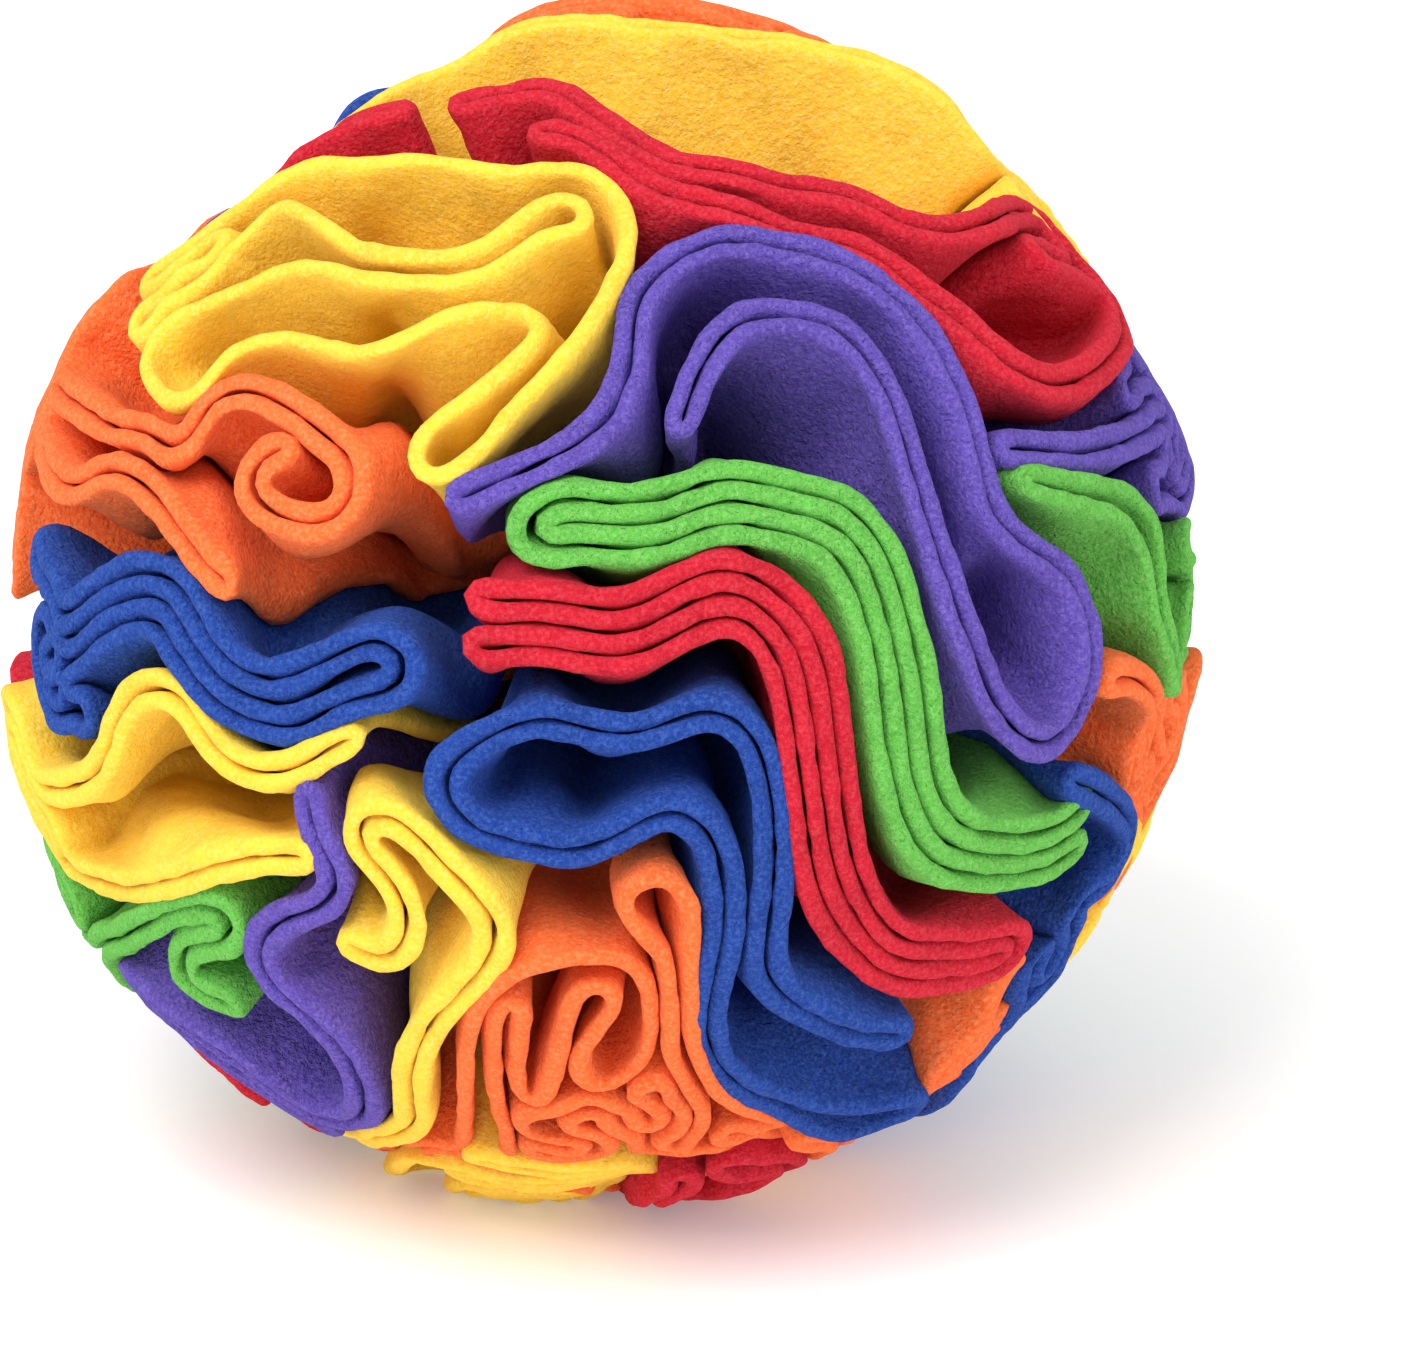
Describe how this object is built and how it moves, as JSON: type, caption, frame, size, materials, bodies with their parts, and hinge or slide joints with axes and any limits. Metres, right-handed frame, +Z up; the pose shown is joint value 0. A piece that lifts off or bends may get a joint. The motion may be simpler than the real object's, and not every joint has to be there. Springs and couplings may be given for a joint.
{
  "type": "snuffle ball",
  "caption": "Soft foraging ball of folded fleece discs, strung by their tips on one cable tie; treats hide in its folds and pockets.",
  "frame": {"origin": "on the surface that the ball rests on, below the ball's centre", "axes": "+Z up, X along the cable tie's axis, -Y towards the ball's near side"},
  "size_m": [0.1468, 0.15, 0.1461],
  "materials": {
    "red_fleece": "napped polyester fleece",
    "yellow_fleece": "napped polyester fleece",
    "orange_fleece": "napped polyester fleece",
    "blue_fleece": "napped polyester fleece",
    "green_fleece": "napped polyester fleece",
    "purple_fleece": "napped polyester fleece",
    "nylon": "moulded nylon"
  },
  "bodies": {
    "tie": {"cable_tie": "nylon"},
    "green_7": {"green_7": "green_fleece"},
    "purple_7": {"purple_7": "purple_fleece"},
    "yellow_6": {"yellow_6": "yellow_fleece"},
    "red_4": {"red_4": "red_fleece"},
    "red_5": {"red_5": "red_fleece"},
    "yellow_5": {"yellow_5": "yellow_fleece"},
    "blue_3": {"blue_3": "blue_fleece"},
    "orange_7": {"orange_7": "orange_fleece"},
    "green_1": {"green_1": "green_fleece"},
    "orange_4": {"orange_4": "orange_fleece"},
    "yellow_4": {"yellow_4": "yellow_fleece"},
    "purple_1": {"purple_1": "purple_fleece"},
    "orange_6": {"orange_6": "orange_fleece"},
    "orange_5": {"orange_5": "orange_fleece"},
    "yellow_3": {"yellow_3": "yellow_fleece"},
    "blue_2": {"blue_2": "blue_fleece"},
    "blue_1": {"blue_1": "blue_fleece"},
    "red_3": {"red_3": "red_fleece"},
    "orange_3": {"orange_3": "orange_fleece"},
    "green_2": {"green_2": "green_fleece"},
    "orange_2": {"orange_2": "orange_fleece"},
    "green_3": {"green_3": "green_fleece"},
    "purple_2": {"purple_2": "purple_fleece"},
    "purple_3": {"purple_3": "purple_fleece"},
    "yellow_2": {"yellow_2": "yellow_fleece"},
    "red_2": {"red_2": "red_fleece"},
    "red_1": {"red_1": "red_fleece"},
    "yellow_1": {"yellow_1": "yellow_fleece"},
    "orange_1": {"orange_1": "orange_fleece"},
    "blue_4": {"blue_4": "blue_fleece"},
    "green_4": {"green_4": "green_fleece"},
    "red_6": {"red_6": "red_fleece"},
    "blue_5": {"blue_5": "blue_fleece"},
    "purple_4": {"purple_4": "purple_fleece"},
    "green_5": {"green_5": "green_fleece"},
    "yellow_7": {"yellow_7": "yellow_fleece"},
    "purple_5": {"purple_5": "purple_fleece"},
    "blue_7": {"blue_7": "blue_fleece"},
    "red_7": {"red_7": "red_fleece"},
    "green_6": {"green_6": "green_fleece"},
    "blue_6": {"blue_6": "blue_fleece"},
    "purple_6": {"purple_6": "purple_fleece"}
  },
  "joints": [
    {"name": "green_7_slide", "type": "hinge", "parent": "tie", "child": "green_7", "pos_m": [0, 0, 0.0715], "axis": [-1, 0, 0], "range_deg": [-0.3087, 0], "stiffness_Nm_per_rad": 0.3},
    {"name": "purple_7_slide", "type": "hinge", "parent": "tie", "child": "purple_7", "pos_m": [0, 0, 0.0715], "axis": [-1, 0, 0], "range_deg": [-0.6164, 0], "stiffness_Nm_per_rad": 0.3},
    {"name": "yellow_6_slide", "type": "hinge", "parent": "tie", "child": "yellow_6", "pos_m": [0, 0, 0.0715], "axis": [-1, 0, 0], "range_deg": [-0.9241, 0], "stiffness_Nm_per_rad": 0.3},
    {"name": "red_4_slide", "type": "hinge", "parent": "tie", "child": "red_4", "pos_m": [0, 0, 0.0715], "axis": [-1, 0, 0], "range_deg": [-1.23, 0], "stiffness_Nm_per_rad": 0.3},
    {"name": "red_5_slide", "type": "hinge", "parent": "tie", "child": "red_5", "pos_m": [0, 0, 0.0715], "axis": [-1, 0, 0], "range_deg": [-1.54, 0], "stiffness_Nm_per_rad": 0.3},
    {"name": "yellow_5_slide", "type": "hinge", "parent": "tie", "child": "yellow_5", "pos_m": [0, 0, 0.0715], "axis": [-1, 0, 0], "range_deg": [-1.85, 0], "stiffness_Nm_per_rad": 0.3},
    {"name": "blue_3_slide", "type": "hinge", "parent": "tie", "child": "blue_3", "pos_m": [0, 0, 0.0715], "axis": [-1, 0, 0], "range_deg": [-2.15, 0], "stiffness_Nm_per_rad": 0.3},
    {"name": "orange_7_slide", "type": "hinge", "parent": "tie", "child": "orange_7", "pos_m": [0, 0, 0.0715], "axis": [-1, 0, 0], "range_deg": [-2.46, 0], "stiffness_Nm_per_rad": 0.3},
    {"name": "green_1_slide", "type": "hinge", "parent": "tie", "child": "green_1", "pos_m": [0, 0, 0.0715], "axis": [-1, 0, 0], "range_deg": [-2.77, 0], "stiffness_Nm_per_rad": 0.3},
    {"name": "orange_4_slide", "type": "hinge", "parent": "tie", "child": "orange_4", "pos_m": [0, 0, 0.0715], "axis": [-1, 0, 0], "range_deg": [-3.08, 0], "stiffness_Nm_per_rad": 0.3},
    {"name": "yellow_4_slide", "type": "hinge", "parent": "tie", "child": "yellow_4", "pos_m": [0, 0, 0.0715], "axis": [-1, 0, 0], "range_deg": [-3.39, 0], "stiffness_Nm_per_rad": 0.3},
    {"name": "purple_1_slide", "type": "hinge", "parent": "tie", "child": "purple_1", "pos_m": [0, 0, 0.0715], "axis": [-1, 0, 0], "range_deg": [-3.69, 0], "stiffness_Nm_per_rad": 0.3},
    {"name": "orange_6_slide", "type": "hinge", "parent": "tie", "child": "orange_6", "pos_m": [0, 0, 0.0715], "axis": [-1, 0, 0], "range_deg": [-4, 0], "stiffness_Nm_per_rad": 0.3},
    {"name": "orange_5_slide", "type": "hinge", "parent": "tie", "child": "orange_5", "pos_m": [0, 0, 0.0715], "axis": [-1, 0, 0], "range_deg": [-4, 0], "stiffness_Nm_per_rad": 0.3},
    {"name": "yellow_3_slide", "type": "hinge", "parent": "tie", "child": "yellow_3", "pos_m": [0, 0, 0.0715], "axis": [-1, 0, 0], "range_deg": [-4, 0], "stiffness_Nm_per_rad": 0.3},
    {"name": "blue_2_slide", "type": "hinge", "parent": "tie", "child": "blue_2", "pos_m": [0, 0, 0.0715], "axis": [-1, 0, 0], "range_deg": [-4, 0], "stiffness_Nm_per_rad": 0.3},
    {"name": "blue_1_slide", "type": "hinge", "parent": "tie", "child": "blue_1", "pos_m": [0, 0, 0.0715], "axis": [-1, 0, 0], "range_deg": [-4, 0], "stiffness_Nm_per_rad": 0.3},
    {"name": "red_3_slide", "type": "hinge", "parent": "tie", "child": "red_3", "pos_m": [0, 0, 0.0715], "axis": [-1, 0, 0], "range_deg": [-4, 0], "stiffness_Nm_per_rad": 0.3},
    {"name": "orange_3_slide", "type": "hinge", "parent": "tie", "child": "orange_3", "pos_m": [0, 0, 0.0715], "axis": [-1, 0, 0], "range_deg": [-4, 0], "stiffness_Nm_per_rad": 0.3},
    {"name": "green_2_slide", "type": "hinge", "parent": "tie", "child": "green_2", "pos_m": [0, 0, 0.0715], "axis": [-1, 0, 0], "range_deg": [-4, 0], "stiffness_Nm_per_rad": 0.3},
    {"name": "orange_2_slide", "type": "hinge", "parent": "tie", "child": "orange_2", "pos_m": [0, 0, 0.0715], "axis": [-1, 0, 0], "range_deg": [-4, 0], "stiffness_Nm_per_rad": 0.3},
    {"name": "green_3_slide", "type": "hinge", "parent": "tie", "child": "green_3", "pos_m": [0, 0, 0.0715], "axis": [-1, 0, 0], "range_deg": [-4, 0], "stiffness_Nm_per_rad": 0.3},
    {"name": "purple_2_slide", "type": "hinge", "parent": "tie", "child": "purple_2", "pos_m": [0, 0, 0.0715], "axis": [-1, 0, 0], "range_deg": [-4, 0], "stiffness_Nm_per_rad": 0.3},
    {"name": "purple_3_slide", "type": "hinge", "parent": "tie", "child": "purple_3", "pos_m": [0, 0, 0.0715], "axis": [-1, 0, 0], "range_deg": [-4, 0], "stiffness_Nm_per_rad": 0.3},
    {"name": "yellow_2_slide", "type": "hinge", "parent": "tie", "child": "yellow_2", "pos_m": [0, 0, 0.0715], "axis": [-1, 0, 0], "range_deg": [0, 6], "stiffness_Nm_per_rad": 0.3},
    {"name": "red_2_slide", "type": "hinge", "parent": "tie", "child": "red_2", "pos_m": [0, 0, 0.0715], "axis": [-1, 0, 0], "range_deg": [0, 6], "stiffness_Nm_per_rad": 0.3},
    {"name": "red_1_slide", "type": "hinge", "parent": "tie", "child": "red_1", "pos_m": [0, 0, 0.0715], "axis": [-1, 0, 0], "range_deg": [0, 6], "stiffness_Nm_per_rad": 0.3},
    {"name": "yellow_1_slide", "type": "hinge", "parent": "tie", "child": "yellow_1", "pos_m": [0, 0, 0.0715], "axis": [-1, 0, 0], "range_deg": [0, 6], "stiffness_Nm_per_rad": 0.3},
    {"name": "orange_1_slide", "type": "hinge", "parent": "tie", "child": "orange_1", "pos_m": [0, 0, 0.0715], "axis": [-1, 0, 0], "range_deg": [0, 6], "stiffness_Nm_per_rad": 0.3},
    {"name": "blue_4_slide", "type": "hinge", "parent": "tie", "child": "blue_4", "pos_m": [0, 0, 0.0715], "axis": [-1, 0, 0], "range_deg": [0, 5.33], "stiffness_Nm_per_rad": 0.3},
    {"name": "green_4_slide", "type": "hinge", "parent": "tie", "child": "green_4", "pos_m": [0, 0, 0.0715], "axis": [-1, 0, 0], "range_deg": [0, 4.67], "stiffness_Nm_per_rad": 0.3},
    {"name": "red_6_slide", "type": "hinge", "parent": "tie", "child": "red_6", "pos_m": [0, 0, 0.0715], "axis": [-1, 0, 0], "range_deg": [0, 4], "stiffness_Nm_per_rad": 0.3},
    {"name": "blue_5_slide", "type": "hinge", "parent": "tie", "child": "blue_5", "pos_m": [0, 0, 0.0715], "axis": [-1, 0, 0], "range_deg": [0, 3.33], "stiffness_Nm_per_rad": 0.3},
    {"name": "purple_4_slide", "type": "hinge", "parent": "tie", "child": "purple_4", "pos_m": [0, 0, 0.0715], "axis": [-1, 0, 0], "range_deg": [0, 2.67], "stiffness_Nm_per_rad": 0.3},
    {"name": "green_5_slide", "type": "hinge", "parent": "tie", "child": "green_5", "pos_m": [0, 0, 0.0715], "axis": [-1, 0, 0], "range_deg": [0, 2], "stiffness_Nm_per_rad": 0.3},
    {"name": "yellow_7_slide", "type": "hinge", "parent": "tie", "child": "yellow_7", "pos_m": [0, 0, 0.0715], "axis": [-1, 0, 0], "range_deg": [0, 1.33], "stiffness_Nm_per_rad": 0.3},
    {"name": "purple_5_slide", "type": "hinge", "parent": "tie", "child": "purple_5", "pos_m": [0, 0, 0.0715], "axis": [-1, 0, 0], "range_deg": [0, 0.6677], "stiffness_Nm_per_rad": 0.3},
    {"name": "blue_7_slide", "type": "hinge", "parent": "tie", "child": "blue_7", "pos_m": [0, 0, 0.0715], "axis": [-1, 0, 0], "range_deg": [0, 4], "stiffness_Nm_per_rad": 0.3},
    {"name": "red_7_slide", "type": "hinge", "parent": "tie", "child": "red_7", "pos_m": [0, 0, 0.0715], "axis": [-1, 0, 0], "range_deg": [0, 3.2], "stiffness_Nm_per_rad": 0.3},
    {"name": "green_6_slide", "type": "hinge", "parent": "tie", "child": "green_6", "pos_m": [0, 0, 0.0715], "axis": [-1, 0, 0], "range_deg": [0, 2.4], "stiffness_Nm_per_rad": 0.3},
    {"name": "blue_6_slide", "type": "hinge", "parent": "tie", "child": "blue_6", "pos_m": [0, 0, 0.0715], "axis": [-1, 0, 0], "range_deg": [0, 1.6], "stiffness_Nm_per_rad": 0.3},
    {"name": "purple_6_slide", "type": "hinge", "parent": "tie", "child": "purple_6", "pos_m": [0, 0, 0.0715], "axis": [-1, 0, 0], "range_deg": [0, 0.801], "stiffness_Nm_per_rad": 0.3}
  ],
  "couplings": [
    {"joint": "green_7_slide", "follows": "purple_3_slide", "ratio": 0.076923},
    {"joint": "purple_7_slide", "follows": "purple_3_slide", "ratio": 0.15385},
    {"joint": "yellow_6_slide", "follows": "purple_3_slide", "ratio": 0.23077},
    {"joint": "red_4_slide", "follows": "purple_3_slide", "ratio": 0.30769},
    {"joint": "red_5_slide", "follows": "purple_3_slide", "ratio": 0.38461},
    {"joint": "yellow_5_slide", "follows": "purple_3_slide", "ratio": 0.46154},
    {"joint": "blue_3_slide", "follows": "purple_3_slide", "ratio": 0.53846},
    {"joint": "orange_7_slide", "follows": "purple_3_slide", "ratio": 0.61538},
    {"joint": "green_1_slide", "follows": "purple_3_slide", "ratio": 0.69231},
    {"joint": "orange_4_slide", "follows": "purple_3_slide", "ratio": 0.76923},
    {"joint": "yellow_4_slide", "follows": "purple_3_slide", "ratio": 0.84615},
    {"joint": "purple_1_slide", "follows": "purple_3_slide", "ratio": 0.92308},
    {"joint": "orange_6_slide", "follows": "purple_3_slide", "ratio": 1},
    {"joint": "orange_5_slide", "follows": "purple_3_slide", "ratio": 1},
    {"joint": "yellow_3_slide", "follows": "purple_3_slide", "ratio": 1},
    {"joint": "blue_2_slide", "follows": "purple_3_slide", "ratio": 1},
    {"joint": "blue_1_slide", "follows": "purple_3_slide", "ratio": 1},
    {"joint": "red_3_slide", "follows": "purple_3_slide", "ratio": 1},
    {"joint": "orange_3_slide", "follows": "purple_3_slide", "ratio": 1},
    {"joint": "green_2_slide", "follows": "purple_3_slide", "ratio": 1},
    {"joint": "orange_2_slide", "follows": "purple_3_slide", "ratio": 1},
    {"joint": "green_3_slide", "follows": "purple_3_slide", "ratio": 1},
    {"joint": "purple_2_slide", "follows": "purple_3_slide", "ratio": 1},
    {"joint": "red_2_slide", "follows": "yellow_2_slide", "ratio": 1},
    {"joint": "red_1_slide", "follows": "yellow_2_slide", "ratio": 1},
    {"joint": "yellow_1_slide", "follows": "yellow_2_slide", "ratio": 1},
    {"joint": "orange_1_slide", "follows": "yellow_2_slide", "ratio": 1},
    {"joint": "blue_4_slide", "follows": "yellow_2_slide", "ratio": 0.88889},
    {"joint": "green_4_slide", "follows": "yellow_2_slide", "ratio": 0.77778},
    {"joint": "red_6_slide", "follows": "yellow_2_slide", "ratio": 0.66667},
    {"joint": "blue_5_slide", "follows": "yellow_2_slide", "ratio": 0.55556},
    {"joint": "purple_4_slide", "follows": "yellow_2_slide", "ratio": 0.44444},
    {"joint": "green_5_slide", "follows": "yellow_2_slide", "ratio": 0.33333},
    {"joint": "yellow_7_slide", "follows": "yellow_2_slide", "ratio": 0.22222},
    {"joint": "purple_5_slide", "follows": "yellow_2_slide", "ratio": 0.11111},
    {"joint": "red_7_slide", "follows": "blue_7_slide", "ratio": 0.8},
    {"joint": "green_6_slide", "follows": "blue_7_slide", "ratio": 0.6},
    {"joint": "blue_6_slide", "follows": "blue_7_slide", "ratio": 0.4},
    {"joint": "purple_6_slide", "follows": "blue_7_slide", "ratio": 0.2}
  ]
}
